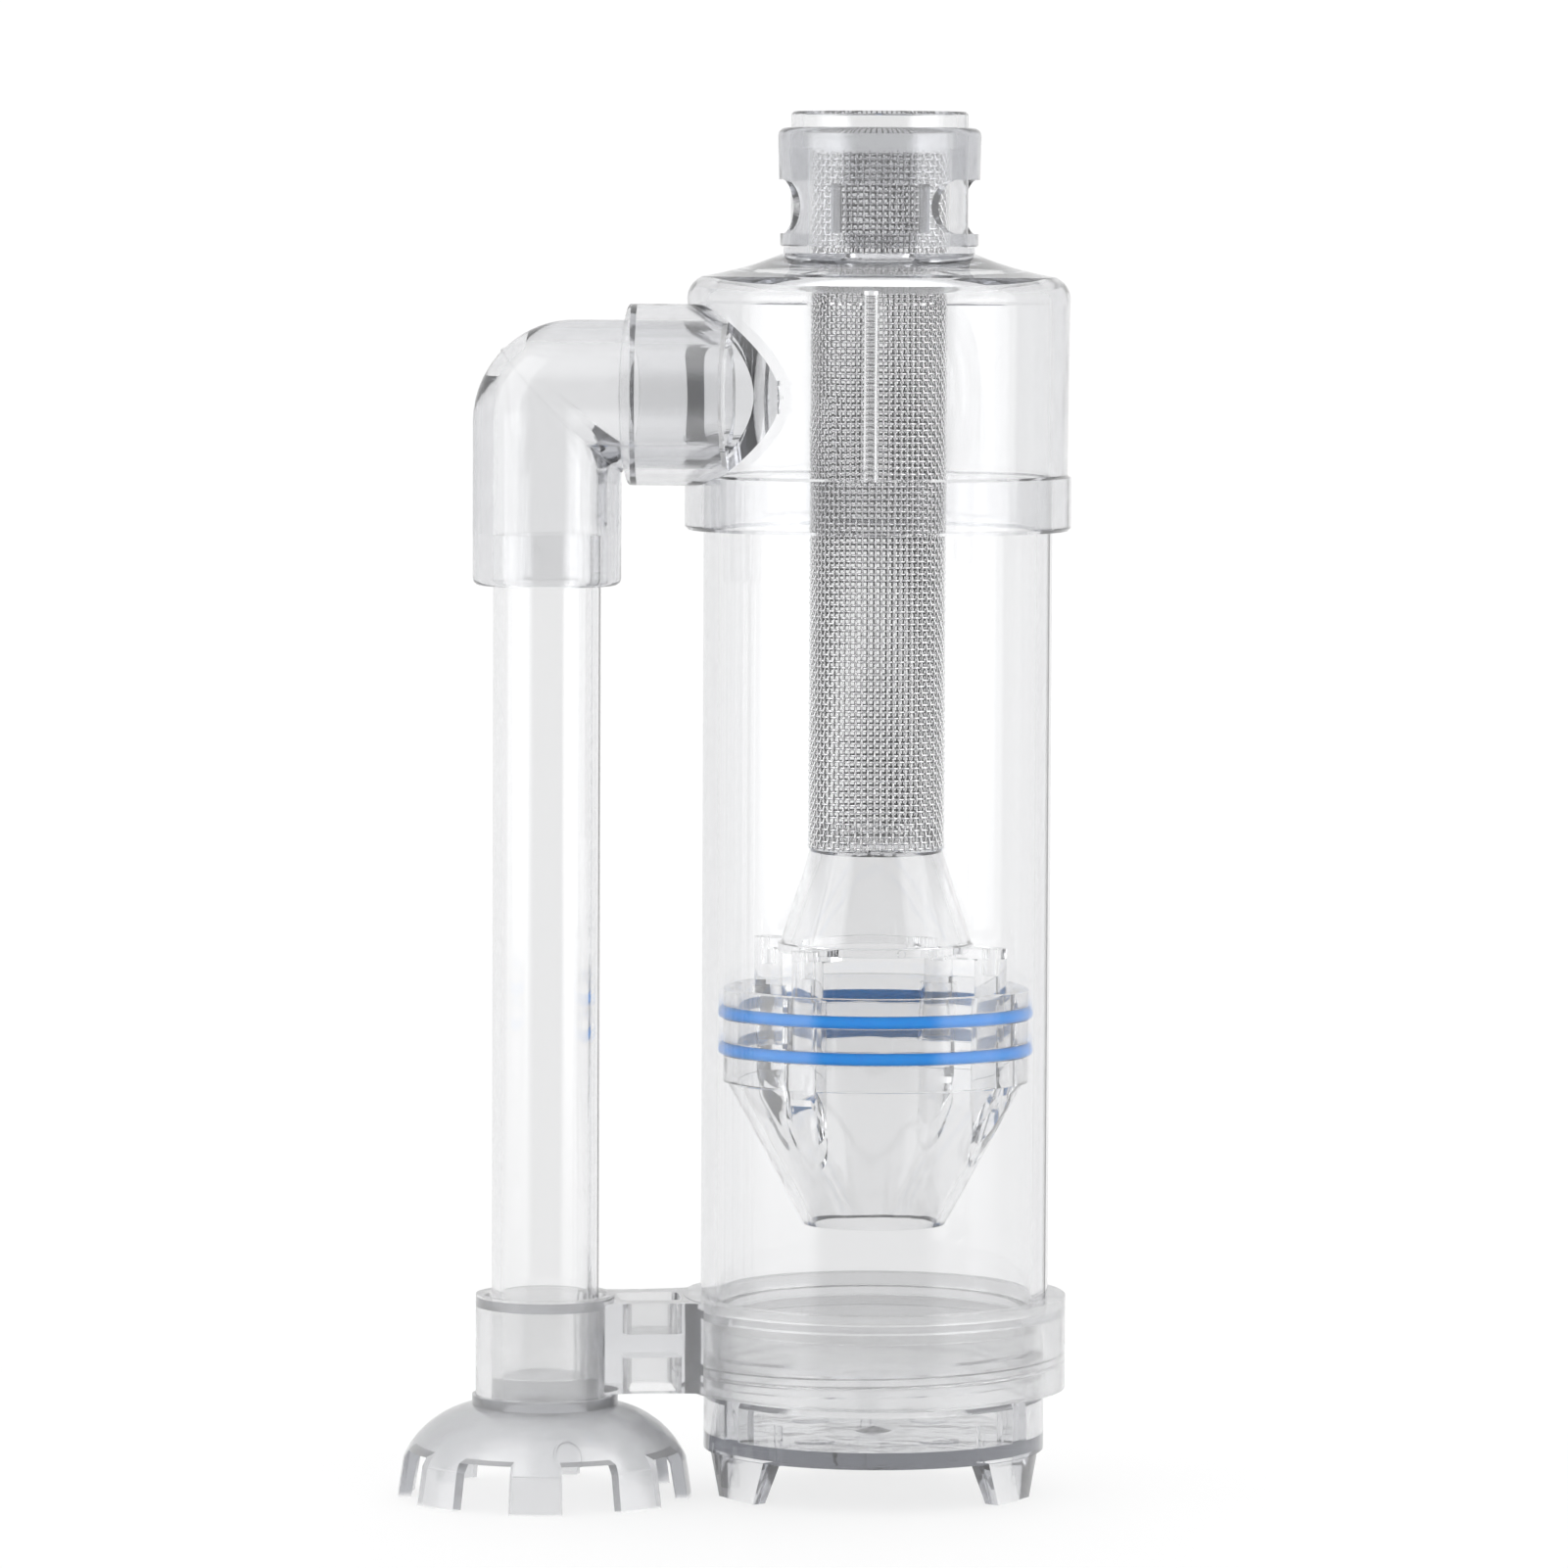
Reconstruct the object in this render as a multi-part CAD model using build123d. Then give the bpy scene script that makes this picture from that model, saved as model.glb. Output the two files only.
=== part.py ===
from build123d import *
import math
import os

# Aquarium waste separator: a clear-plastic cyclone that a pump draws water through.
# Millimetres, +Z up, the front faces -Y. The origin is on the surface it stands on, under the
# middle of its outline. Angles round an upright axis are in degrees from the front, towards +X.

# Fits
RUN = 0.08           # radial clearance between pieces that slide or turn in each other
SEAT = 0.04          # clearance between pieces of one body
EMBED = 0.5          # how far a small feature reaches into the piece that carries it

# Main tube
TUBE_R = 32.5
TUBE_BORE_R = 29.5
TUBE_BOTTOM = 35.0
TUBE_TOP = 190.0

# Intake tube, elbow and the inlet's line through the cap
INTAKE_R = 10.0
INTAKE_BORE_R = 8.0
INTAKE_BOTTOM = 22.7
INTAKE_TOP = 179.5
INLET_Z = 205.5
INLET_TURN = 7.0     # the inlet's line turns this far from the X axis, towards the back at the intake
INLET_OFFSET = 15.5  # how far the inlet's line passes in front of the main axis
INTAKE_REACH = 60.0  # intake axis to the point of the inlet's line nearest the main axis
ELBOW_R = 13.8
ELBOW_BORE_R = 9.5
ELBOW_WALL = 2.4     # least wall, round the outside of the bend
ELBOW_BOTTOM = 170.0
ELBOW_BEND_R = 5.2   # centre line of the bend, smaller than the limb, so the inner corner is sharp
ELBOW_END = 26.3     # end of the elbow in the collar, from the middle of the inlet's line
ELBOW_LIP = 1.5      # rounding of the socket's mouth
MARK = 3.5           # side of the plain triangle on the elbow
MARK_Z = 175.3

# Cap, its collar and its neck
CAP_R = 35.3
CAP_BORE_R = 32.0
CAP_BOTTOM = 180.3
SKIRT_R = 36.0
SKIRT_TOP = 190.2
SKIRT_BEVEL = 0.6    # round the skirt's lower edge
CEILING = 225.0
CAP_DRAFT = 0.3      # how far the wall leans out by its top
CORNER_DROP = 2.6    # how far below the ceiling the wall starts to turn in
CORNER_MIDDLE = (34.9, 225.8)
SHOULDER = (33.0, 227.4)        # radius and height where the slope starts
SLOPE_MIDDLE = (25.7, 229.0)
SLOPE_END = (17.8, 231.7)
CEILING_BEVEL = 0.8
CEILING_END_R = 26.5            # the ceiling is flat out here, and follows the slope further in
THROAT_START = (25.4, 226.8)
THROAT_END_Z = 230.1            # where it meets the strainer's bore
COLLAR_R = 16.8
COLLAR_MOUTH = 0.7   # bevel inside the collar's mouth
COLLAR_MOUTH_DEPTH = 1.2
COLLAR_REACH = 12.0  # how near the inlet's bore comes to the middle of its line
FRONT_RIB_R = 1.3    # half-round rib down the front of the cap
FRONT_RIB_REACH = 35.1          # its middle, from the main axis
FRONT_RIB_ANGLE = -2.9
GATE_RIDGES = 3
GATE_RIDGE_STEP = 2.6
GATE_RIDGE_LENGTH = 9.0
GATE_RIDGE_X = -23.0
SIDE_LINE_ANGLE = -22.0         # mould line beside the collar's tip
SIDE_LINE_WIDTH = 16.0
DOWN_LINE_ANGLE = -14.0
COLLAR_END = 44.3
NECK_R = 16.5
NECK_BORE_R = 13.1
NECK_TOP = 258.0
NECK_BEVEL = 0.5
PUMP_BORE_R = 14.4
PUMP_BORE_DEPTH = 6.8
PORT_HALF_WIDTH = 32.0
PORT_BOTTOM = 235.6
PORT_TOP = 244.6
LINE = 0.45          # width of a mould line
LINE_RISE = 0.25     # how far it stands out

# Flow ring on the neck
FLOW_R_TOP = 18.9
FLOW_R_BOTTOM = 18.45
FLOW_BOTTOM = 233.0
FLOW_TOP = 255.0
FLOW_ROUND = 1.5     # rounding of the ring's top edge
FLOW_FOOT_BEVEL = 0.3
SLOT_Z = 240.4
SLOT_HEIGHT = 10.0
SLOT_HALF_WIDTH = 42.5
SLOT_ANGLES = (78.0, 258.0)

# Coupling bracket
RING_R = 35.85
RING_BOTTOM = 19.8
RING_TOP = 37.1
LEDGE_BORE_R = 27.5
LEDGE_BOTTOM = 33.3
SMALL_RING_R = 12.95
SMALL_RING_BOTTOM = 19.0
SMALL_RING_TOP = 37.8
LEAD_IN_R = 11.7
LEAD_IN_DEPTH = 2.6
LEAD_IN_RIM = 0.6
RING_LINE_ANGLE = -1.5
ARM_HALF_WIDTH = 12.6
ARM_TAPER = 1.0      # how much narrower it is at the small ring, on each side
ARM_WAIST = 10.9
ARM_OVERLAP = 3.0    # how far its ends reach into the rings
ARM_BOTTOM = 20.2
ARM_TOP = 37.0
POCKET_LENGTH = 11.7
POCKET_WIDTH = 12.0
POCKET_ROUND = 2.5
WEB = 4.4

# Screw thread of the base cup
PITCH = 3.85
THREAD_BORE_R = 32.0   # root of the thread inside the ring
THREAD_CREST_R = 30.95
NECK_ROOT_R = 30.5     # root of the thread on the cup
NECK_CREST_R = 31.55
CUP_THREAD_START = 20.9
CUP_THREAD_TURNS = 1.6
RING_THREAD_TURNS = 1.0
ROOT_PART = 0.29       # half the ridge's width at its root and its crest, as parts of the pitch
CREST_PART = 0.15
THREAD_OVERLAP = 0.2   # how far the ridge reaches into its wall
THREAD_LEAD = 122.0    # where the threads start, from the X axis

# Base cup
CUP_R = 31.9
CUP_BORE_R = 29.4
CUP_NECK_BORE_R = 28.5
CUP_BOTTOM = 8.3
CUP_FLOOR = 11.2
CUP_SHOULDER = 19.6
CUP_STEP = 1.0       # height of the bevel inside, below the shoulder
CUP_TOP = 31.3
GASKET_R = 30.5
GASKET_BORE_R = 28.3
FOOT_ANGLES = (-60.0, 61.5, 181.0)
FOOT_R = 31.2
RIB_ANGLES = (-34.0, 38.0, 110.0, -106.0, 182.0)
RIB_WIDTH = 2.5
RIB_STANDS_OUT = 0.45
RIB_TOP = 15.7
FOOT_DEPTH = 5.2     # foot, front to back, where it meets the cup
FOOT_WIDTH = 38.0    # foot's width there, in degrees
FOOT_TIP_DEPTH = 3.1
FOOT_TIP_INSET = 0.9
FOOT_TIP_WIDTH = 24.0
LUG_DEPTH = 3.0      # grip lugs inside the cup, over the feet
LUG_WIDTH = 9.0
GATE_R = 3.5         # low gate cone in the middle of the cup's floor
GATE_RISE = 1.0
EJECTOR_R = 3.7      # four shallow ejector marks on the cup's floor
EJECTOR_REACH = 18.0
EJECTOR_ANGLES = (-37.0, 41.0, 143.0, -139.0)

# Suction bell
BELL_R = 27.5
BELL_WALL = 2.4
BELL_NECK_R = 13.6
LEGS = 8
LEG_WIDTH = 21.0
LEG_ANGLE = -2.0
NOTCH = 8.8
DOME_TOP_Z = 17.1
DOME_MIDDLE = (22.0, 13.1)
DOME_EDGE = (26.4, 7.2)
HOLLOW_EDGE = (24.0, 6.6)
HOLLOW_MIDDLE = (20.0, 11.2)
HOLLOW_TOP = (11.0, 15.0)
HOLLOW_NECK_Z = 16.4
BELL_GATE_R = 2.8    # round gate mark on the front of the bell
BELL_GATE_ANGLE = 12.0
BELL_GATE_Z = 10.6

# Separator: funnel, two O-rings and the deflector cone on its four posts
FUNNEL_R = 28.6
FUNNEL_BORE_R = 25.9
FUNNEL_RIM_TOP = 94.9
FUNNEL_RIM_BOTTOM = 77.7
FUNNEL_CONE_R = 27.9
THROAT_R = 13.3
FUNNEL_BOTTOM = 50.5
FUNNEL_WALL = 2.0
O_RING_SECTION = 2.3
O_RING_GAP = 0.05    # between an O-ring and the barrel
O_RING_HEIGHTS = {"upper_o_ring": 90.7, "lower_o_ring": 83.9}
GROOVE_PLAY = 0.15   # above and below an O-ring in its groove
POSTS = 4
POST_ANGLE = 58.9
POST_REACH = 24.1
POST_R = 2.8
POST_BOTTOM = 84.0
BOSS_R = 3.7
BOSS_TOP = 94.0
BOSS_RISE = 1.0      # how far the bosses stand out at the cone's lower end
BOSS_RIM_RISE = 0.6  # and at its upper end
BOSS_INSET = 0.2     # how far they stay inside the grooves' floor
ARM_PLATE_TOP = 103.2
ARM_PLATE = 2.1
CORE_HOLE_R = 1.0
CORE_HOLE_DEPTH = 5.0
HAT_R = 17.8
HAT_TOP_R = 12.3
HAT_BOTTOM = 101.7
HAT_TOP = 120.7
HAT_WALL = 2.0
HAT_CROWN = 1.0      # wall at the hat's top
HAT_BEVEL = 0.2
HAT_LIP = 0.5
HAT_GATE_R = 0.7     # round gate mark on the front of the hat's lip
HAT_GATE_ANGLE = 14.0
SPIGOT_TOP = 125.2
SPIGOT_BORE_R = 10.2
SPIGOT_FLOOR = 1.8

# Strainer
STRAINER_R = 12.75
STRAINER_WALL = 0.6
STRAINER_BOTTOM = 120.8
STRAINER_TOP = 250.9


def from_front(radius, angle):
    """The point at a radius and an angle from the front."""
    turn = math.radians(angle)
    return radius * math.sin(turn), -radius * math.cos(turn)


def turned(*outline):
    """A solid turned about Z from an outline of radius and height."""
    profile = Polyline(*outline, close=True)
    return revolve(Plane.XZ * make_face(profile), Axis.Z)


def turned_curve(edges):
    """A solid turned about Z from a closed chain of lines and arcs."""
    return revolve(Plane.XZ * make_face(edges), Axis.Z)


def tube(radius, bore, low, high):
    """A plain tube on Z."""
    return turned((bore, low), (radius, low), (radius, high), (bore, high))


def rod(radius, low, high, x=0.0, y=0.0):
    """An upright solid rod."""
    return Pos(x, y, low) * extrude(Circle(radius), high - low)


def sector_face(inner, outer, middle, width):
    """A flat piece of a ring, centred on an angle from the front."""
    start = middle - 90.0 - width / 2
    outside = CenterArc((0, 0), outer, start, width)
    inside = CenterArc((0, 0), inner, start, width)
    sides = Line(outside @ 1, inside @ 1) + Line(outside @ 0, inside @ 0)
    return make_face(outside + inside + sides)


def sector(inner, outer, middle, width, low, high):
    """An upright piece of a ring."""
    return Pos(0, 0, low) * extrude(sector_face(inner, outer, middle, width), high - low)


def thread(root, crest, low, turns):
    """One helical ridge from a root radius to a crest radius, inwards or outwards."""
    overlap = math.copysign(THREAD_OVERLAP, root - crest)
    root_half = PITCH * ROOT_PART
    crest_half = PITCH * CREST_PART
    path = Helix(pitch=PITCH, height=PITCH * turns, radius=root)
    profile = Plane.XZ * make_face(Polyline(
        (root + overlap, -root_half), (crest, -crest_half),
        (crest, crest_half), (root + overlap, root_half), close=True))
    return Pos(0, 0, low) * Rot(0, 0, THREAD_LEAD) * sweep(profile, path=path, is_frenet=True)


def inlet_point(along):
    """A point on the inlet's line, measured from the place nearest the main axis."""
    turn = math.radians(INLET_TURN)
    x = -along * math.cos(turn) - INLET_OFFSET * math.sin(turn)
    y = along * math.sin(turn) - INLET_OFFSET * math.cos(turn)
    return x, y


INTAKE_X, INTAKE_Y = inlet_point(INTAKE_REACH)
MAIN_X = (BELL_R - INTAKE_X - SKIRT_R) / 2
main_axis = Pos(MAIN_X, 0, 0)
intake_axis = Pos(MAIN_X + INTAKE_X, INTAKE_Y, 0)


def along_inlet(radius, near, far):
    """A round bar on the inlet's line, between two distances from its middle."""
    x, y = inlet_point(near)
    bar = extrude(Plane.YZ * Circle(radius), -(far - near))
    return Pos(x, y, INLET_Z) * Rot(0, 0, -INLET_TURN) * bar


def main_tube():
    """The clear barrel."""
    return tube(TUBE_R, TUBE_BORE_R, TUBE_BOTTOM, TUBE_TOP)


def intake_tube():
    """The long thin pipe from the bell up to the elbow."""
    return tube(INTAKE_R, INTAKE_BORE_R, INTAKE_BOTTOM, INTAKE_TOP)


def bent_bar(radius):
    """The elbow's outline as a solid bar: two limbs and the rounded outside of the bend."""
    rise = INLET_Z - ELBOW_BEND_R
    limb = rod(radius, ELBOW_BOTTOM, rise)
    length = INTAKE_REACH - ELBOW_END - ELBOW_BEND_R
    branch = Pos(ELBOW_BEND_R, 0, INLET_Z) * extrude(Plane.YZ * Circle(radius), length)
    outside = Circle(radius) & Pos(-radius + ELBOW_BEND_R, 0) * Rectangle(2 * radius, 2 * radius)
    hinge = Axis((ELBOW_BEND_R, 0, rise), (0, 1, 0))
    bend = revolve(Pos(0, 0, rise) * outside, hinge, 90)
    return limb + branch + bend


def mitred_bore():
    """The elbow's bore: two straight cores that met on the mitre plane, rounded outside the bend."""
    below = Pos(0, 0, INLET_Z) * Rot(0, 45, 0) * Pos(0, 0, -2 * ELBOW_R) * Box(
        8 * ELBOW_R, 4 * ELBOW_R, 4 * ELBOW_R)
    core = rod(ELBOW_BORE_R, ELBOW_BOTTOM - 1, INLET_Z + ELBOW_R) & below
    mitre = Plane((0, 0, INLET_Z), z_dir=(1, 0, 1))
    return (core + mirror(core, about=mitre)) & bent_bar(ELBOW_R - ELBOW_WALL)


def inlet_elbow():
    """Moulded elbow with a socket for the intake tube and a mitre line across its bend."""
    body = bent_bar(ELBOW_R)
    body = fillet(body.edges().filter_by(GeomType.CIRCLE).sort_by(Axis.Z)[0], ELBOW_LIP)
    slab = Rot(0, 45, 0) * Box(4 * ELBOW_R, 4 * ELBOW_R, LINE)
    corner = Pos(ELBOW_BEND_R, 0, INLET_Z - ELBOW_BEND_R) * slab
    body += bent_bar(ELBOW_R + LINE_RISE) & corner
    body += triangle_mark()
    socket = rod(INTAKE_R + SEAT, ELBOW_BOTTOM - 1, INTAKE_TOP + SEAT)
    return Rot(0, 0, -INLET_TURN) * (body - mitred_bore() - socket)


def triangle_mark():
    """Three thin raised strokes that make a plain triangle on the front of the elbow."""
    height = MARK * math.sqrt(3) / 2
    corners = [(-MARK / 2, 0), (MARK / 2, 0), (0, height)]
    outline = make_face(Polyline(*corners, close=True))
    strokes = outline - offset(outline, -LINE)
    plate = Pos(0, -ELBOW_R + 1, MARK_Z) * extrude(Plane.XZ * strokes, 1 + LINE_RISE)
    return plate & rod(ELBOW_R + LINE_RISE, MARK_Z - 1, MARK_Z + MARK)


def cap_wall():
    """The cap's outer form: skirt, wall, sloping shoulder and neck, filled solid."""
    wall_top = (CAP_R + CAP_DRAFT, CEILING - CORNER_DROP)
    wall = Polyline(
        (0, CAP_BOTTOM), (SKIRT_R - SKIRT_BEVEL, CAP_BOTTOM), (SKIRT_R, CAP_BOTTOM + SKIRT_BEVEL),
        (SKIRT_R, SKIRT_TOP), (CAP_R, SKIRT_TOP + LINE), wall_top)
    corner = ThreePointArc(wall_top, CORNER_MIDDLE, SHOULDER)
    slope = ThreePointArc(SHOULDER, SLOPE_MIDDLE, SLOPE_END)
    ledge = FLOW_BOTTOM - RUN * 2
    neck = Polyline(
        SLOPE_END, (SLOPE_END[0], ledge), (NECK_R, ledge), (NECK_R, NECK_TOP - NECK_BEVEL), (NECK_R - NECK_BEVEL, NECK_TOP), (0, NECK_TOP), (0, CAP_BOTTOM))
    return turned_curve(wall + corner + slope + neck)


def cap_hollow():
    """The space in the cap: tube socket, chamber under the ceiling, strainer bore, pump bore."""
    pump_floor = NECK_TOP - PUMP_BORE_DEPTH
    return turned(
        (0, CAP_BOTTOM - 1), (TUBE_R + RUN, CAP_BOTTOM - 1), (TUBE_R + RUN, TUBE_TOP + SEAT),
        (CAP_BORE_R, TUBE_TOP + SEAT), (CAP_BORE_R, CEILING - CEILING_BEVEL),
        (CAP_BORE_R - CEILING_BEVEL, CEILING), (CEILING_END_R, CEILING), THROAT_START,
        (NECK_BORE_R, THROAT_END_Z), (NECK_BORE_R, pump_floor), (PUMP_BORE_R, pump_floor), (PUMP_BORE_R, NECK_TOP + 1),
        (0, NECK_TOP + 1))


def mould_lines():
    """Thin raised lines that the mould leaves on the cap's front, and three short gate ridges."""
    collar_start = ELBOW_END - GATE_RIDGE_LENGTH
    level = Pos(0, 0, INLET_Z) * Box(4 * CAP_R, 4 * CAP_R, LINE)
    lines = along_inlet(COLLAR_R + LINE_RISE, collar_start, COLLAR_END) & level
    outside = CAP_R + CAP_DRAFT / 2 + LINE_RISE
    low = INLET_Z - LINE / 2
    lines += sector(CAP_R - 1, outside, SIDE_LINE_ANGLE, SIDE_LINE_WIDTH, low, low + LINE)
    lines += sector(CAP_R - 1, outside, DOWN_LINE_ANGLE, math.degrees(LINE / CAP_R), SKIRT_TOP, INLET_Z)
    thick_collar = along_inlet(COLLAR_R + 2 * LINE_RISE, COLLAR_REACH, COLLAR_END)
    for ridge in range(GATE_RIDGES):
        height = INLET_Z + (ridge - (GATE_RIDGES - 1) / 2) * GATE_RIDGE_STEP
        bar = Pos(GATE_RIDGE_X, -CAP_R, height) * Box(GATE_RIDGE_LENGTH, 2 * COLLAR_R, 2 * LINE)
        lines += thick_collar & bar
    return lines


def top_cap():
    """The cap with its tangential collar, front rib, neck, ports and mould lines."""
    body = cap_wall() + along_inlet(COLLAR_R, 0, COLLAR_END) + mould_lines()
    rib_x, rib_y = from_front(FRONT_RIB_REACH, FRONT_RIB_ANGLE)
    body += rod(FRONT_RIB_R, SKIRT_TOP, CEILING, rib_x, rib_y)
    body -= cap_hollow()
    body -= along_inlet(ELBOW_R + SEAT, ELBOW_END - 1, COLLAR_END + 1)
    mouth_x, mouth_y = inlet_point(COLLAR_END - COLLAR_MOUTH_DEPTH / 2 + SEAT)
    mouth = Cone(ELBOW_R, ELBOW_R + COLLAR_MOUTH, COLLAR_MOUTH_DEPTH)
    body -= Pos(mouth_x, mouth_y, INLET_Z) * Rot(0, -90, -INLET_TURN) * mouth
    body -= along_inlet(ELBOW_BORE_R, COLLAR_REACH, ELBOW_END)
    for middle in (0.0, 180.0):
        body -= sector(NECK_BORE_R - 1, NECK_R + 1, middle, 2 * PORT_HALF_WIDTH, PORT_BOTTOM, PORT_TOP)
    return body


def flow_ring():
    """The turning collar on the neck, with two round-ended slots that open the ports."""
    bore = NECK_R + RUN
    wall = Polyline(
        (bore, FLOW_TOP), (bore, FLOW_BOTTOM), (FLOW_R_BOTTOM - FLOW_FOOT_BEVEL, FLOW_BOTTOM),
        (FLOW_R_BOTTOM, FLOW_BOTTOM + FLOW_FOOT_BEVEL), (FLOW_R_TOP, FLOW_TOP - FLOW_ROUND))
    corner = TangentArc(wall @ 1, (FLOW_R_TOP - FLOW_ROUND, FLOW_TOP), tangent=(0, 1))
    body = turned_curve(wall + corner + Line(corner @ 1, wall @ 0))
    end_turn = SLOT_HALF_WIDTH - math.degrees(SLOT_HEIGHT / 2 / FLOW_R_TOP)
    low = SLOT_Z - SLOT_HEIGHT / 2
    for middle in SLOT_ANGLES:
        body -= sector(bore - 1, FLOW_R_TOP + 1, middle, 2 * end_turn, low, low + SLOT_HEIGHT)
        for turn in (middle - end_turn, middle + end_turn):
            drill = extrude(Plane.XZ * Circle(SLOT_HEIGHT / 2), FLOW_R_TOP + 2)
            body -= Pos(0, 0, SLOT_Z) * Rot(0, 0, turn) * drill
    return body


def arm_outline():
    """Plan of the arm between the two rings, along X, with a waist."""
    near = -RING_R + ARM_OVERLAP
    far = -math.hypot(INTAKE_X, INTAKE_Y) + SMALL_RING_R - ARM_OVERLAP
    middle = (near + far) / 2
    front = ThreePointArc((near, -ARM_HALF_WIDTH), (middle, -ARM_WAIST), (far, ARM_TAPER - ARM_HALF_WIDTH))
    back = ThreePointArc((far, ARM_HALF_WIDTH - ARM_TAPER), (middle, ARM_WAIST), (near, ARM_HALF_WIDTH))
    ends = Line(front @ 1, back @ 0) + Line(back @ 1, front @ 0)
    return make_face(front + back + ends)


def bracket_arm():
    """The arm, hollowed from above and below so that a web is left between two side walls."""
    arm = Pos(0, 0, ARM_BOTTOM) * extrude(arm_outline(), ARM_TOP - ARM_BOTTOM)
    gap = math.hypot(INTAKE_X, INTAKE_Y) - SMALL_RING_R - RING_R
    middle = (ARM_BOTTOM + ARM_TOP) / 2
    pocket = RectangleRounded(POCKET_LENGTH, POCKET_WIDTH, POCKET_ROUND)
    depth = (ARM_TOP - ARM_BOTTOM - WEB) / 2
    for low in (middle + WEB / 2, middle - WEB / 2 - depth):
        arm -= Pos(-RING_R - gap / 2, 0, low) * extrude(pocket, depth)
    turn = math.degrees(math.atan2(INTAKE_Y, INTAKE_X)) - 180.0
    return Rot(0, 0, turn) * arm


def coupling_bracket():
    """One moulding: the big threaded ring, the arm and the small ring round the intake tube."""
    big = rod(RING_R, RING_BOTTOM, RING_TOP)
    small = rod(SMALL_RING_R, SMALL_RING_BOTTOM, SMALL_RING_TOP, INTAKE_X, INTAKE_Y)
    line_width = math.degrees(LINE / RING_R)
    line = sector(RING_R - 1, RING_R + LINE_RISE, RING_LINE_ANGLE, line_width, RING_BOTTOM, RING_TOP)
    body = big + small + bracket_arm() + line
    body -= turned(
        (0, RING_BOTTOM - 1), (THREAD_BORE_R, RING_BOTTOM - 1), (THREAD_BORE_R, LEDGE_BOTTOM),
        (LEDGE_BORE_R, LEDGE_BOTTOM), (LEDGE_BORE_R, TUBE_BOTTOM - SEAT),
        (TUBE_R + SEAT, TUBE_BOTTOM - SEAT), (TUBE_R + SEAT, RING_TOP + 1), (0, RING_TOP + 1))
    bore = turned(
        (0, SMALL_RING_BOTTOM - 1), (INTAKE_R + RUN, SMALL_RING_BOTTOM - 1),
        (INTAKE_R + RUN, SMALL_RING_TOP - LEAD_IN_DEPTH), (LEAD_IN_R, SMALL_RING_TOP - LEAD_IN_RIM),
        (LEAD_IN_R, SMALL_RING_TOP + 1), (0, SMALL_RING_TOP + 1))
    body -= Pos(INTAKE_X, INTAKE_Y, 0) * bore
    return body + thread(THREAD_BORE_R, THREAD_CREST_R, CUP_THREAD_START + PITCH / 2, RING_THREAD_TURNS)


def foot(angle):
    """A foot under the cup that narrows towards the floor."""
    top = Pos(0, 0, CUP_BOTTOM + EMBED) * sector_face(FOOT_R - FOOT_DEPTH, FOOT_R, angle, FOOT_WIDTH)
    tip_r = FOOT_R - FOOT_TIP_INSET
    tip = sector_face(tip_r - FOOT_TIP_DEPTH, tip_r, angle, FOOT_TIP_WIDTH)
    return loft([tip, top])


def base_cup():
    """The collecting cup: three feet, small outside ribs, inner lugs and a threaded neck."""
    body = turned(
        (0, CUP_BOTTOM), (CUP_R, CUP_BOTTOM), (CUP_R, CUP_SHOULDER), (NECK_ROOT_R, CUP_SHOULDER),
        (NECK_ROOT_R, CUP_TOP), (CUP_NECK_BORE_R, CUP_TOP), (CUP_NECK_BORE_R, CUP_SHOULDER - CUP_STEP),
        (CUP_BORE_R, CUP_SHOULDER - 2 * CUP_STEP), (CUP_BORE_R, CUP_FLOOR), (GATE_R, CUP_FLOOR),
        (0, CUP_FLOOR + GATE_RISE))
    for angle in FOOT_ANGLES:
        body += foot(angle)
        body += sector(
            CUP_BORE_R - LUG_DEPTH, CUP_BORE_R + EMBED, angle, LUG_WIDTH, CUP_FLOOR - EMBED,
            CUP_SHOULDER - CUP_STEP)
    for angle in RIB_ANGLES:
        x, y = from_front(CUP_R - RIB_WIDTH / 2 + RIB_STANDS_OUT, angle)
        body += rod(RIB_WIDTH / 2, CUP_BOTTOM, RIB_TOP, x, y)
    for angle in EJECTOR_ANGLES:
        x, y = from_front(EJECTOR_REACH, angle)
        body += rod(EJECTOR_R, CUP_FLOOR - EMBED, CUP_FLOOR + LINE_RISE, x, y)
    return body + thread(NECK_ROOT_R, NECK_CREST_R, CUP_THREAD_START, CUP_THREAD_TURNS)


def cup_gasket():
    """The flat seal between the cup's neck and the ring's ledge."""
    return tube(GASKET_R, GASKET_BORE_R, CUP_TOP + SEAT, LEDGE_BOTTOM - SEAT)


def bell_gate_mark():
    """A thin raised circle on the bell's dome, where the plastic entered the mould."""
    dome = ThreePointArc((BELL_NECK_R, DOME_TOP_Z), DOME_MIDDLE, DOME_EDGE)
    above = Pos(LINE_RISE, LINE_RISE) * dome
    below = Pos(-LINE, -LINE) * dome
    skin = turned_curve(above + below + Line(above @ 0, below @ 0) + Line(above @ 1, below @ 1))
    circle = Circle(BELL_GATE_R) - Circle(BELL_GATE_R - LINE)
    bar = Pos(0, 0, BELL_GATE_Z) * Rot(0, 0, BELL_GATE_ANGLE) * extrude(Plane.XZ * circle, BELL_R)
    return skin & bar


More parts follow.
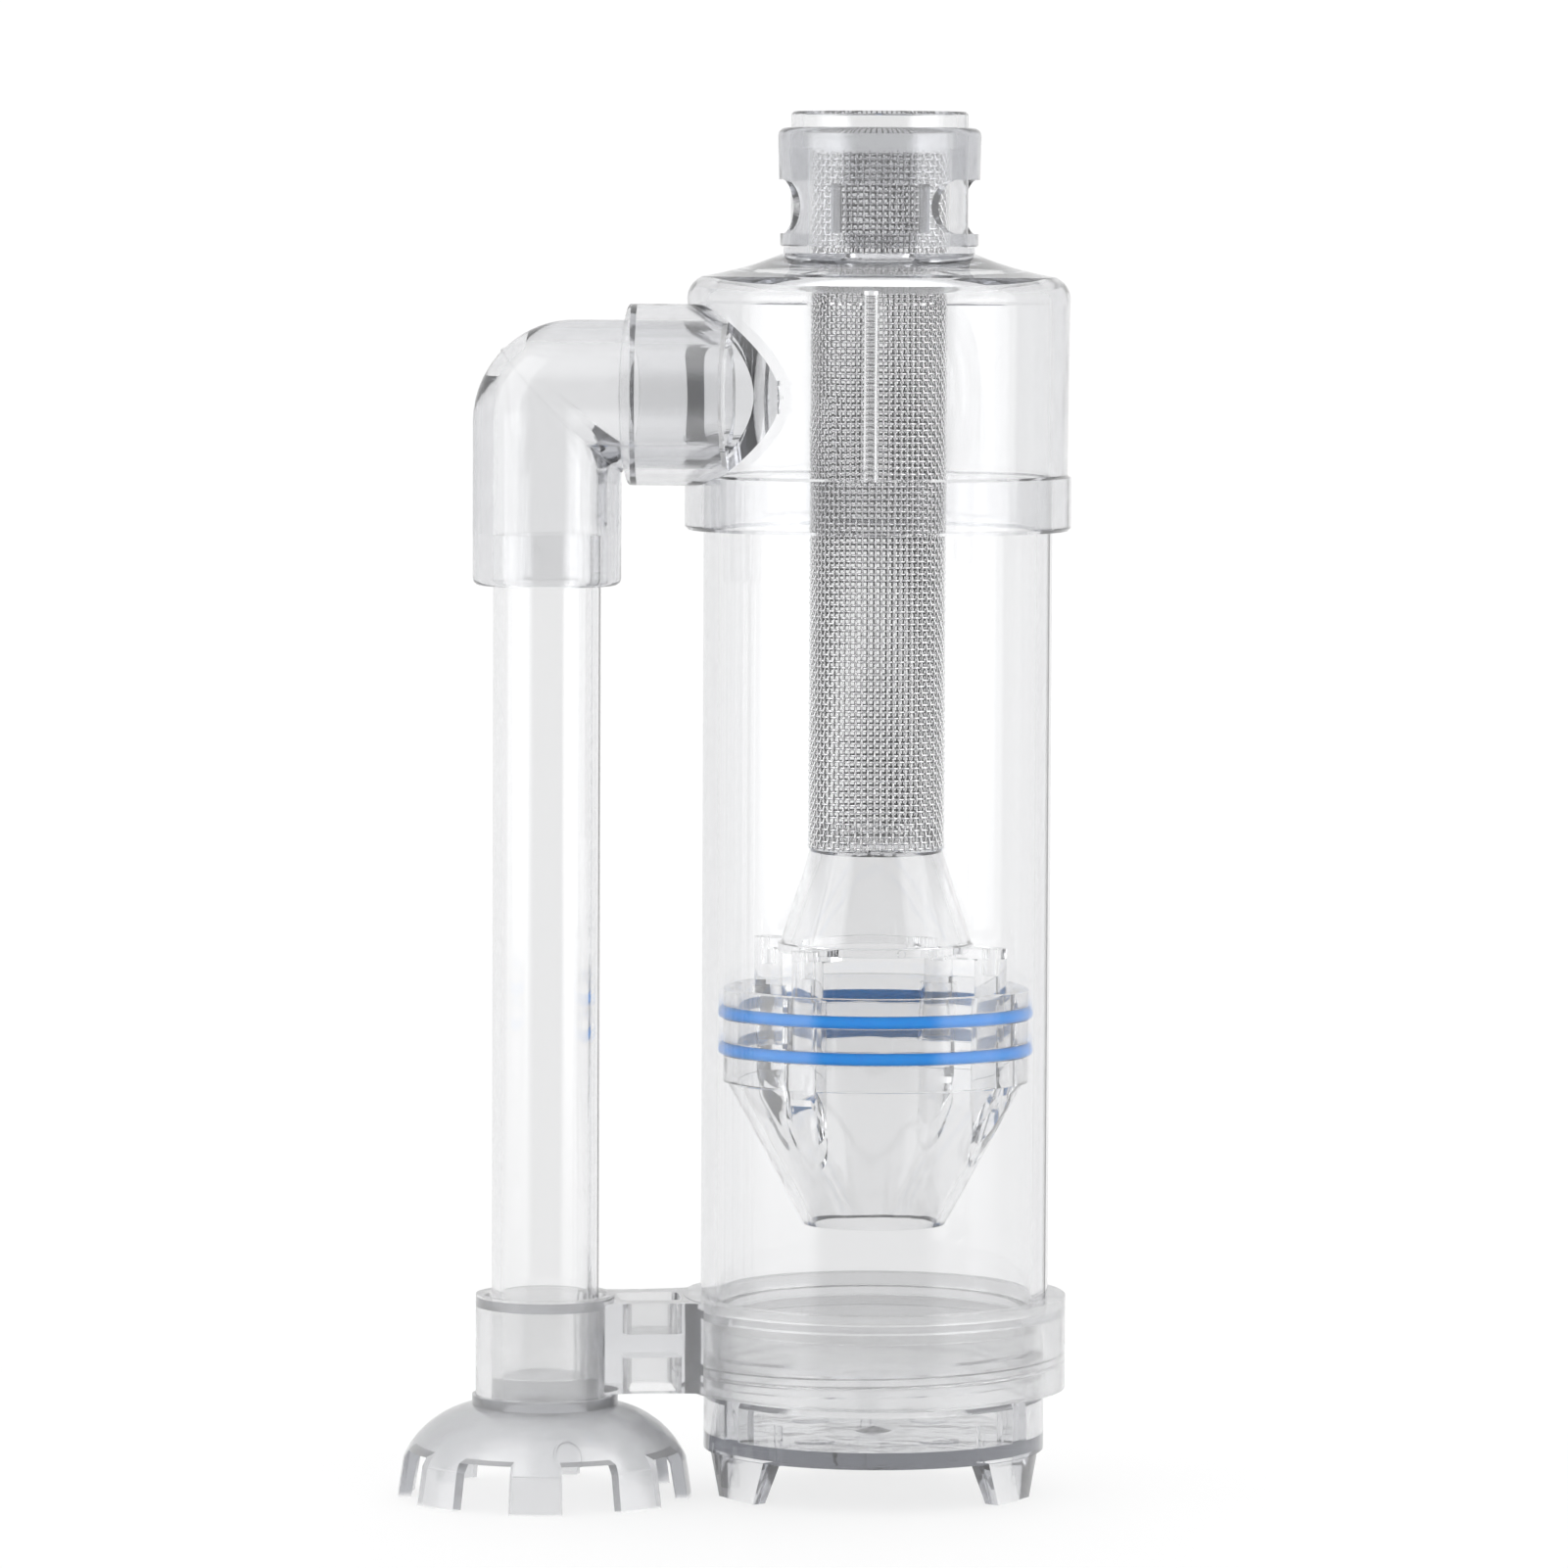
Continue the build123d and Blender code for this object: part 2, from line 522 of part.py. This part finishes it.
def suction_bell():
    """The notched bell that stands on the floor under the intake tube."""
    shoulder = SMALL_RING_BOTTOM - SEAT
    tube_end = INTAKE_BOTTOM - SEAT
    outside = ThreePointArc((BELL_NECK_R, DOME_TOP_Z), DOME_MIDDLE, DOME_EDGE)
    inside = ThreePointArc(HOLLOW_EDGE, HOLLOW_MIDDLE, HOLLOW_TOP)
    neck = Polyline(
        inside @ 1, (INTAKE_BORE_R, HOLLOW_NECK_Z), (INTAKE_BORE_R, tube_end), (INTAKE_R, tube_end),
        (INTAKE_R, shoulder), (BELL_NECK_R, shoulder), outside @ 0)
    skirt = Polyline(outside @ 1, (BELL_R, 0), (BELL_R - BELL_WALL, 0), inside @ 0)
    body = turned_curve(outside + skirt + inside + neck) + bell_gate_mark()
    for leg in range(LEGS):
        middle = LEG_ANGLE + (leg + 0.5) * 360.0 / LEGS
        body -= sector(BELL_R / 2, BELL_R + 1, middle, 360.0 / LEGS - LEG_WIDTH, -1, NOTCH)
    return body


def post_places():
    """Angles of the four posts, from the front."""
    return [POST_ANGLE + 360.0 / POSTS * post for post in range(POSTS)]


def funnel_form(growth):
    """The funnel's outer form, filled solid, with its cone grown outwards."""
    return turned(
        (0, FUNNEL_BOTTOM), (THROAT_R + growth, FUNNEL_BOTTOM),
        (FUNNEL_CONE_R + min(growth, BOSS_RIM_RISE), FUNNEL_RIM_BOTTOM), (FUNNEL_R, FUNNEL_RIM_BOTTOM),
        (FUNNEL_R, FUNNEL_RIM_TOP), (0, FUNNEL_RIM_TOP))


def separator_funnel():
    """The funnel: grooved rim, open cone and four sockets for the posts."""
    hollow = turned(
        (0, FUNNEL_BOTTOM - 1), (THROAT_R - FUNNEL_WALL, FUNNEL_BOTTOM - 1),
        (THROAT_R - FUNNEL_WALL, FUNNEL_BOTTOM), (FUNNEL_BORE_R, FUNNEL_RIM_BOTTOM),
        (FUNNEL_BORE_R, FUNNEL_RIM_TOP + 1), (0, FUNNEL_RIM_TOP + 1))
    body = funnel_form(0) - hollow
    groove_r = TUBE_BORE_R - O_RING_GAP - O_RING_SECTION
    for height in O_RING_HEIGHTS.values():
        half = O_RING_SECTION / 2 + GROOVE_PLAY
        body -= tube(FUNNEL_R + 1, groove_r, height - half, height + half)
    bosses = Part()
    holes = Part()
    for angle in post_places():
        x, y = from_front(POST_REACH, angle)
        bosses += rod(BOSS_R, FUNNEL_BOTTOM, BOSS_TOP, x, y)
        holes += rod(POST_R + SEAT, POST_BOTTOM - 1, BOSS_TOP + 1, x, y)
    inside = rod(groove_r - BOSS_INSET, FUNNEL_BOTTOM, FUNNEL_RIM_TOP)
    return body + (bosses & funnel_form(BOSS_RISE) & inside) - holes


def o_ring(height):
    """A round rubber ring that seals the funnel's rim to the barrel."""
    centre = TUBE_BORE_R - O_RING_GAP - O_RING_SECTION / 2
    section = Pos(centre, height) * Circle(O_RING_SECTION / 2)
    return revolve(Plane.XZ * section, Axis.Z)


def deflector_cone():
    """The hat over the funnel, with a spigot for the strainer, four arms and four posts."""
    spigot_r = STRAINER_R - STRAINER_WALL - RUN
    body = turned(
        (HAT_R, HAT_BOTTOM), (HAT_R + HAT_LIP, HAT_BOTTOM), (HAT_R + HAT_LIP, ARM_PLATE_TOP),
        (HAT_R, ARM_PLATE_TOP + HAT_BEVEL), (HAT_TOP_R, HAT_TOP), (spigot_r, HAT_TOP), (spigot_r, SPIGOT_TOP),
        (SPIGOT_BORE_R, SPIGOT_TOP), (SPIGOT_BORE_R, HAT_TOP + SPIGOT_FLOOR), (0, HAT_TOP + SPIGOT_FLOOR),
        (0, HAT_TOP), (HAT_TOP_R - HAT_WALL, HAT_TOP - HAT_CROWN), (HAT_R - HAT_WALL, ARM_PLATE_TOP),
        (HAT_R - HAT_WALL, HAT_BOTTOM))
    for angle in post_places():
        x, y = from_front(POST_REACH, angle)
        middle = (POST_REACH + HAT_R) / 2 - HAT_LIP
        arm = Box(2 * POST_R, POST_REACH - HAT_R + 2 * HAT_LIP, ARM_PLATE)
        body += Rot(0, 0, angle) * Pos(0, -middle, ARM_PLATE_TOP - ARM_PLATE / 2) * arm
        body += rod(POST_R, POST_BOTTOM, ARM_PLATE_TOP, x, y)
        body -= rod(CORE_HOLE_R, ARM_PLATE_TOP - CORE_HOLE_DEPTH, ARM_PLATE_TOP + 1, x, y)
    gate_x, gate_y = from_front(HAT_R, HAT_GATE_ANGLE)
    gate = Rot(0, 0, HAT_GATE_ANGLE) * extrude(Plane.XZ * Circle(HAT_GATE_R), HAT_LIP + 2 * LINE_RISE)
    return body + Pos(gate_x, gate_y, (HAT_BOTTOM + ARM_PLATE_TOP) / 2) * gate


def strainer_mesh():
    """The woven strainer sleeve as a plain thin tube."""
    return tube(STRAINER_R, STRAINER_R - STRAINER_WALL, STRAINER_BOTTOM, STRAINER_TOP)


pieces = {
    "main_tube": main_axis * main_tube(),
    "coupling_bracket": main_axis * coupling_bracket(),
    "base_cup": main_axis * base_cup(),
    "cup_gasket": main_axis * cup_gasket(),
    "top_cap": main_axis * top_cap(),
    "flow_ring": main_axis * flow_ring(),
    "inlet_elbow": intake_axis * inlet_elbow(),
    "intake_tube": intake_axis * intake_tube(),
    "suction_bell": intake_axis * suction_bell(),
    "separator_funnel": main_axis * separator_funnel(),
    "deflector_cone": main_axis * deflector_cone(),
    "strainer_mesh": main_axis * strainer_mesh(),
}
for name, height in O_RING_HEIGHTS.items():
    pieces[name] = main_axis * o_ring(height)

os.makedirs("parts", exist_ok=True)
for name, piece in pieces.items():
    export_step(piece, "parts/" + name + ".step")
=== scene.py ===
import math
import random

import bpy
from mathutils import Matrix, Vector


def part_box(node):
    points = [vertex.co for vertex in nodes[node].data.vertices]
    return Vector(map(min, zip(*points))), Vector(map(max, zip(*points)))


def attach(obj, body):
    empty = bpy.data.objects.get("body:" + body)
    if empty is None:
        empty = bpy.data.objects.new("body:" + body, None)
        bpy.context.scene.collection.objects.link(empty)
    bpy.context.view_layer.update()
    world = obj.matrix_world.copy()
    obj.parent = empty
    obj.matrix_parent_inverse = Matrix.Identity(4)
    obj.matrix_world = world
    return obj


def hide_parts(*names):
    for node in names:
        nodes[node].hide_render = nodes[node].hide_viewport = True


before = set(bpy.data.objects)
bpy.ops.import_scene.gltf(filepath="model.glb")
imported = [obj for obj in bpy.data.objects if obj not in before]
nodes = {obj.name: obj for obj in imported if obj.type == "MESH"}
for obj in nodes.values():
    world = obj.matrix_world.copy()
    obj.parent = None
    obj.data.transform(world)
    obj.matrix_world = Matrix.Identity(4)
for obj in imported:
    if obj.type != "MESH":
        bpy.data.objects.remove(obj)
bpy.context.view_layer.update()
MM = 0.001

# ---------------------------------------------------------------- places read from the frame
barrel_low, barrel_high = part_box("main_tube")
MAIN = Vector(((barrel_low.x + barrel_high.x) / 2, (barrel_low.y + barrel_high.y) / 2, 0))
mesh_low, mesh_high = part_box("strainer_mesh")

# ---------------------------------------------------------------- strainer's weave
WIRE_R = 0.215 * MM
WIRE_SIDES = 5
WIRE_SWING = 0.2 * MM     # how far a wire swings in and out as it crosses
MESH_PITCH = 1.16 * MM
MESH_R = (mesh_high.x - mesh_low.x) / 2 - WIRE_R - WIRE_SWING    # middle of the weave
UPRIGHT_DRIFT = 0.004     # radians by which an upright may stand off its even place
HOOP_DRIFT = 0.03         # and a hoop, as a part of the step between hoops
CUT_SHORT = 0.35          # by how much a cut end may fall short, as a part of that step
WEAVE_SEED = 4

# ---------------------------------------------------------------- clear plastic
ACRYLIC_IOR = 1.49
DIMMED_COLOUR = (0.28, 0.30, 0.36, 1)
GLOSS_SCALE = 260
PLASTIC_BUMP = 0.6
ALONG_THE_TUBE = (1, 1, 0.02)    # draws the waves of an extruded tube out along it

# ---------------------------------------------------------------- floor
FLOOR_R = 0.22
FLOOR_SIDES = 96
PAPER_GLOW = 0.75

# ---------------------------------------------------------------- light
PANEL_LIGHT = 2.8         # the tall panels to each side
OVERHEAD_LIGHT = 1.6
ROOM_LIGHT = 1.0
GAP_LIGHT = 0.3           # straight in front of the object
BEHIND_LIGHT = 0.95
LEVEL_LIGHT = 0.96        # seen straight through the plastic, near eye level
FAR_LIGHT = 0.85          # and far above or below it
SCATTERED_LIGHT = 1.6     # falls on matt surfaces and haze
BACKDROP_LIGHT = 1.02

# ---------------------------------------------------------------- camera
LENS_MM = 193.9
SENSOR_MM = 36.0
CAMERA_AIM = MAIN + Vector((-17.3 * MM, 0, 132.7 * MM))
CAMERA_DISTANCE = 1.578
CAMERA_DOWN = math.radians(3.8)
CAMERA_ROLL = math.radians(0.25)
CAMERA_CLIP = 0.05


# ---------------------------------------------------------------- node helpers
def new_material(name):
    """An empty node material and its Principled shader."""
    material = bpy.data.materials.new(name)
    material.use_nodes = True
    tree = material.node_tree
    return material, tree, tree.nodes["Principled BSDF"]


def noise(tree, scale, detail=3.0, stretch=(1, 1, 1)):
    """A noise texture in object space, in metres, with its own stretch."""
    place = tree.nodes.new("ShaderNodeTexCoord")
    mapping = tree.nodes.new("ShaderNodeMapping")
    mapping.inputs["Scale"].default_value = stretch
    texture = tree.nodes.new("ShaderNodeTexNoise")
    texture.inputs["Scale"].default_value = scale
    texture.inputs["Detail"].default_value = detail
    tree.links.new(place.outputs["Object"], mapping.inputs["Vector"])
    tree.links.new(mapping.outputs["Vector"], texture.inputs["Vector"])
    return texture.outputs["Fac"]


def spread(tree, value, low, high, from_low=0.3, from_high=0.7):
    """A value moved onto a new range, and held inside it."""
    node = tree.nodes.new("ShaderNodeMapRange")
    node.inputs["From Min"].default_value = from_low
    node.inputs["From Max"].default_value = from_high
    node.inputs["To Min"].default_value = low
    node.inputs["To Max"].default_value = high
    tree.links.new(value, node.inputs["Value"])
    return node.outputs["Result"]


def mixed_colour(tree, switch, off, on):
    """One colour or another, by a switch from 0 to 1."""
    node = tree.nodes.new("ShaderNodeMix")
    node.data_type = "RGBA"
    for socket, value in ((0, switch), (6, off), (7, on)):
        if isinstance(value, tuple):
            node.inputs[socket].default_value = value
        else:
            tree.links.new(value, node.inputs[socket])
    return node.outputs[2]


def from_main_axis(tree):
    """How far a point is from the barrel's axis."""
    place = tree.nodes.new("ShaderNodeTexCoord")
    flat = tree.nodes.new("ShaderNodeVectorMath")
    flat.operation = "MULTIPLY"
    flat.inputs[1].default_value = (1, 1, 0)
    tree.links.new(place.outputs["Object"], flat.inputs[0])
    away = tree.nodes.new("ShaderNodeVectorMath")
    away.operation = "DISTANCE"
    away.inputs[1].default_value = MAIN
    tree.links.new(flat.outputs["Vector"], away.inputs[0])
    return away.outputs["Value"]


def bump(tree, shader, height, strength, distance):
    """A bump on the shader's normal."""
    node = tree.nodes.new("ShaderNodeBump")
    node.inputs["Strength"].default_value = strength
    node.inputs["Distance"].default_value = distance
    tree.links.new(height, node.inputs["Height"])
    tree.links.new(node.outputs["Normal"], shader.inputs["Normal"])


# ---------------------------------------------------------------- materials
def clear_plastic(name, dimming, haze, roughness, wave_scale, wave_height, stretch=(1, 1, 1)):
    """Clear acrylic or moulding: it dims light along its way through the plastic, so that an edge
    seen end-on is grey, with a little haze, uneven gloss and the slight waves of its mould."""
    material, tree, shader = new_material(name)
    shader.inputs["Base Color"].default_value = (1, 1, 1, 1)
    inside = tree.nodes.new("ShaderNodeVolumeAbsorption")
    inside.inputs["Color"].default_value = DIMMED_COLOUR
    inside.inputs["Density"].default_value = dimming
    output = tree.nodes["Material Output"]
    tree.links.new(inside.outputs["Volume"], output.inputs["Volume"])
    shader.inputs["IOR"].default_value = ACRYLIC_IOR
    shader.inputs["Transmission Weight"].default_value = 1.0 - haze
    gloss = noise(tree, GLOSS_SCALE, 4.0)
    tree.links.new(spread(tree, gloss, *roughness), shader.inputs["Roughness"])
    bump(tree, shader, noise(tree, wave_scale, 2.0, stretch), PLASTIC_BUMP, wave_height)
    return material


def blue_rubber(name):
    """Smooth bright blue rubber with a faint moulded grain."""
    material, tree, shader = new_material(name)
    shade = mixed_colour(tree, noise(tree, 500), (0.0, 0.29, 0.98, 1), (0.0, 0.37, 1.0, 1))
    tree.links.new(shade, shader.inputs["Base Color"])
    tree.links.new(spread(tree, noise(tree, 900), 0.28, 0.45), shader.inputs["Roughness"])
    shader.inputs["Specular IOR Level"].default_value = 0.2
    bump(tree, shader, noise(tree, 2500, 2.0), 0.15, 0.1 * MM)
    return material


def steel_wire(name):
    """Drawn stainless wire with fine scratches along it, and painted shade: its base colour turns dark
    grey where it dips in behind another.
    """
    material, tree, shader = new_material(name)
    shader.inputs["Metallic"].default_value = 1.0
    drawn = mixed_colour(tree, noise(tree, 1800, 4.0), (0.70, 0.70, 0.71, 1), (1.0, 0.99, 0.99, 1))
    # painted shade: the base colour goes dark grey where the wire dips in towards the barrel's axis,
    # behind a crossing wire
    outside_painted_shade = spread(tree, from_main_axis(tree), 0, 1, MESH_R - WIRE_R, MESH_R + WIRE_R / 2)
    shade = mixed_colour(tree, outside_painted_shade, (0.16, 0.16, 0.16, 1), drawn)
    tree.links.new(shade, shader.inputs["Base Color"])
    tree.links.new(spread(tree, noise(tree, 3000), 0.1, 0.26), shader.inputs["Roughness"])
    bump(tree, shader, noise(tree, 6000, 2.0), 0.2, 0.03 * MM)
    return material


def pale_floor(name):
    """Matt paper for the floor, which glows so that its shadows stay faint."""
    material, tree, shader = new_material(name)
    shader.inputs["Base Color"].default_value = (0.15, 0.15, 0.15, 1)
    shader.inputs["Emission Color"].default_value = (1, 1, 1, 1)
    shader.inputs["Emission Strength"].default_value = PAPER_GLOW
    shader.inputs["Roughness"].default_value = 0.9
    bump(tree, shader, noise(tree, 900), 0.1, 0.2 * MM)
    return material


def give(node, material):
    """Put a material on a CAD node."""
    thing = nodes[node]
    thing.data.materials.clear()
    thing.data.materials.append(material)


# each plastic: dimming, haze, lowest and highest roughness, scale and height of its waves
barrel_acrylic = clear_plastic("barrel_acrylic", 22, 0.01, (0.0, 0.02), 120, 0.05 * MM, ALONG_THE_TUBE)
pipe_acrylic = clear_plastic("pipe_acrylic", 20, 0.01, (0.0, 0.02), 160, 0.04 * MM, ALONG_THE_TUBE)
moulding = clear_plastic("clear_moulding", 28, 0.03, (0.0, 0.02), 60, 0.15 * MM)
inner_moulding = clear_plastic("inner_moulding", 12, 0.04, (0.01, 0.04), 80, 0.2 * MM)
cup_moulding = clear_plastic("cup_moulding", 45, 0.09, (0.0, 0.05), 90, 0.3 * MM)
ring_moulding = clear_plastic("ring_moulding", 20, 0.14, (0.06, 0.16), 90, 0.3 * MM)
bell_moulding = clear_plastic("bell_moulding", 130, 0.2, (0.1, 0.25), 90, 0.15 * MM)
frosted_moulding = clear_plastic("frosted_moulding", 115, 0.05, (0.0, 0.025), 110, 0.3 * MM)
silicone = clear_plastic("clear_silicone", 30, 0.15, (0.12, 0.25), 200, 0.3 * MM)
rubber = blue_rubber("blue_rubber")
steel = steel_wire("stainless_wire")

give("main_tube", barrel_acrylic)
give("intake_tube", pipe_acrylic)
give("top_cap", moulding)
give("inlet_elbow", moulding)
give("separator_funnel", inner_moulding)
give("deflector_cone", inner_moulding)
give("coupling_bracket", ring_moulding)
give("base_cup", cup_moulding)
give("suction_bell", bell_moulding)
give("flow_ring", frosted_moulding)
give("cup_gasket", silicone)
give("upper_o_ring", rubber)
give("lower_o_ring", rubber)


# ---------------------------------------------------------------- woven strainer
def wire_rings(line, closed):
    """Points round a wire that follows a line, each line point with its outward direction."""
    points = []
    count = len(line)
    for index, (place, outward) in enumerate(line):
        after = line[(index + 1) % count] if closed else line[min(index + 1, count - 1)]
        before = line[index - 1] if closed or index else line[0]
        along = (after[0] - before[0]).normalized()
        side = along.cross(outward).normalized()
        up = side.cross(along)
        for corner in range(WIRE_SIDES):
            turn = 2 * math.pi * corner / WIRE_SIDES
            points.append(place + WIRE_R * (math.cos(turn) * up + math.sin(turn) * side))
    return points


def wires(name, lines, closed):
    """One smooth mesh object made of many wires."""
    points = []
    faces = []
    for line in lines:
        first = len(points)
        points += wire_rings(line, closed)
        rings = len(line)
        for ring in range(rings if closed else rings - 1):
            here = first + ring * WIRE_SIDES
            there = first + (ring + 1) % rings * WIRE_SIDES
            for corner in range(WIRE_SIDES):
                beside = (corner + 1) % WIRE_SIDES
                faces.append((here + corner, here + beside, there + beside, there + corner))
        if not closed:
            faces.append(tuple(first + corner for corner in reversed(range(WIRE_SIDES))))
            last = first + (rings - 1) * WIRE_SIDES
            faces.append(tuple(last + corner for corner in range(WIRE_SIDES)))
    mesh = bpy.data.meshes.new(name)
    mesh.from_pydata(points, [], faces)
    mesh.polygons.foreach_set("use_smooth", [True] * len(mesh.polygons))
    mesh.update()
    thing = bpy.data.objects.new(name, mesh)
    bpy.context.scene.collection.objects.link(thing)
    mesh.materials.append(steel)
    return thing


def strainer():
    """The stainless sleeve, plain-woven from upright wires and hoops, with raw cut ends."""
    height = mesh_high.z - mesh_low.z
    uprights = 2 * round(math.pi * MESH_R / MESH_PITCH)
    hoops = int(height / MESH_PITCH)
    step = height / hoops
    chance = random.Random(WEAVE_SEED)

    def place(angle, radius, z):
        outward = Vector((math.cos(angle), math.sin(angle), 0))
        return MAIN + radius * outward + Vector((0, 0, z)), outward

    upright_lines = []
    for index in range(uprights):
        angle = 2 * math.pi * index / uprights
        drift = chance.uniform(-UPRIGHT_DRIFT, UPRIGHT_DRIFT)
        line = []
        for half in range(2 * hoops + 1):
            z = mesh_low.z + half * step / 2
            if half in (0, 2 * hoops):
                z += math.copysign(chance.uniform(0, CUT_SHORT), hoops - half) * step
            swing = WIRE_SWING * math.cos(math.pi * (half - 1) / 2) * (-1) ** index
            line.append(place(angle + drift, MESH_R + swing, z))
        upright_lines.append(line)

    hoop_lines = []
    for hoop in range(hoops):
        z = mesh_low.z + (hoop + 0.5) * step + chance.uniform(-HOOP_DRIFT, HOOP_DRIFT) * step
        line = []
        for half in range(2 * uprights):
            angle = math.pi * half / uprights
            swing = -WIRE_SWING * math.cos(math.pi * half / 2) * (-1) ** hoop
            line.append(place(angle, MESH_R + swing, z))
        hoop_lines.append(line)

    upright_wires = wires("strainer_uprights", upright_lines, closed=False)
    hoop_wires = wires("strainer_hoops", hoop_lines, closed=True)
    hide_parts("strainer_mesh")
    for piece in (upright_wires, hoop_wires):
        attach(piece, "strainer")


strainer()


# ---------------------------------------------------------------- floor, light and camera
def floor():
    """A round sheet of pale paper under the object."""
    points = [(0.0, 0.0, 0.0)]
    for index in range(FLOOR_SIDES):
        turn = 2 * math.pi * index / FLOOR_SIDES
        points.append((FLOOR_R * math.cos(turn), FLOOR_R * math.sin(turn), 0.0))
    faces = [(0, 1 + index, 1 + (index + 1) % FLOOR_SIDES) for index in range(FLOOR_SIDES)]
    mesh = bpy.data.meshes.new("floor")
    mesh.from_pydata(points, [], faces)
    mesh.materials.append(pale_floor("floor_paper"))
    thing = bpy.data.objects.new("floor", mesh)
    bpy.context.scene.collection.objects.link(thing)


def math_node(tree, operation, first, second=None):
    """A math node fed by values or sockets."""
    node = tree.nodes.new("ShaderNodeMath")
    node.operation = operation
    for index, value in enumerate((first, second)):
        if value is None:
            continue
        if isinstance(value, (int, float)):
            node.inputs[index].default_value = value
        else:
            tree.links.new(value, node.inputs[index])
    return node.outputs[0]


def choose(tree, switch, off, on):
    """One value or another, by a switch from 0 to 1."""
    node = tree.nodes.new("ShaderNodeMix")
    node.data_type = "FLOAT"
    for socket, value in ((0, switch), (2, off), (3, on)):
        if isinstance(value, (int, float)):
            node.inputs[socket].default_value = value
        else:
            tree.links.new(value, node.inputs[socket])
    return node.outputs[0]


def window(tree, angle, middle, half, edge):
    """1 where an angle is within half of the middle, falling to 0 over the edge, in degrees."""
    away = math_node(tree, "ABSOLUTE", math_node(tree, "SUBTRACT", angle, math.radians(middle)))
    node = tree.nodes.new("ShaderNodeMapRange")
    node.interpolation_type = "SMOOTHSTEP"
    node.inputs["From Min"].default_value = math.radians(half) + math.radians(edge)
    node.inputs["From Max"].default_value = math.radians(half)
    tree.links.new(away, node.inputs["Value"])
    return node.outputs["Result"]


def studio():
    """A white studio: plain white to look at, with a tall soft panel to each side and a soft light
    overhead for the object's gloss, and a darker gap in front that draws its edges."""
    world = bpy.data.worlds.new("studio")
    bpy.context.scene.world = world
    world.use_nodes = True
    tree = world.node_tree
    background = tree.nodes["Background"]
    place = tree.nodes.new("ShaderNodeTexCoord")
    split = tree.nodes.new("ShaderNodeSeparateXYZ")
    tree.links.new(place.outputs["Generated"], split.inputs[0])
    x, y, z = split.outputs
    turn = math_node(tree, "ARCTAN2", x, y)      # 0 straight behind the object, 180 degrees in front
    rise = math_node(tree, "ARCSINE", z)

    # what a reflection shows: tall panels to each side, a darker gap between them straight in front
    # of the object, a soft light overhead, and plain white behind the object
    side = math_node(tree, "ABSOLUTE", turn)
    panel = window(tree, side, 112, 20, 5)
    tall = window(tree, rise, 24, 27, 5)
    front = window(tree, side, 180, 36, 8)
    level = window(tree, rise, 0, 24, 12)
    overhead = window(tree, rise, 65, 20, 12)
    behind = window(tree, side, 0, 60, 25)
    room = choose(tree, math_node(tree, "MULTIPLY", front, level), ROOM_LIGHT, GAP_LIGHT)
    room = choose(tree, overhead, room, OVERHEAD_LIGHT)
    room = choose(tree, math_node(tree, "MULTIPLY", panel, tall), room, PANEL_LIGHT)
    gloss = choose(tree, behind, room, BEHIND_LIGHT)

    # what shows straight through: white all round, a little greyer far above and below
    through = choose(tree, window(tree, rise, 0, 20, 40), FAR_LIGHT, LEVEL_LIGHT)

    path = tree.nodes.new("ShaderNodeLightPath")
    reflected = math_node(tree, "GREATER_THAN", path.outputs["Glossy Depth"], 0.5)
    scattered = math_node(tree, "GREATER_THAN", path.outputs["Diffuse Depth"], 0.5)
    seen = choose(tree, reflected, through, gloss)
    seen = choose(tree, scattered, seen, SCATTERED_LIGHT)
    seen = choose(tree, path.outputs["Is Camera Ray"], seen, BACKDROP_LIGHT)
    background.inputs["Color"].default_value = (1, 1, 1, 1)
    tree.links.new(seen, background.inputs["Strength"])


def camera():
    """A long lens in front of the object, looking slightly down."""
    data = bpy.data.cameras.new("camera")
    data.lens = LENS_MM
    data.sensor_width = SENSOR_MM
    data.clip_start = CAMERA_CLIP
    thing = bpy.data.objects.new("camera", data)
    bpy.context.scene.collection.objects.link(thing)
    place = CAMERA_AIM + CAMERA_DISTANCE * Vector((0, -math.cos(CAMERA_DOWN), math.sin(CAMERA_DOWN)))
    tilt = Matrix.Rotation(math.pi / 2 - CAMERA_DOWN, 4, "X")
    thing.matrix_world = Matrix.Translation(place) @ tilt @ Matrix.Rotation(CAMERA_ROLL, 4, "Z")
    bpy.context.scene.camera = thing


def light_paths():
    """Enough bounces for light to pass all the nested clear walls, and plain colours."""
    settings = bpy.context.scene.cycles
    settings.max_bounces = 40
    settings.transmission_bounces = 40
    settings.glossy_bounces = 12
    settings.diffuse_bounces = 3
    settings.transparent_max_bounces = 16
    settings.sample_clamp_indirect = 6.0
    bpy.context.scene.view_settings.view_transform = "Standard"


floor()
studio()
camera()
light_paths()
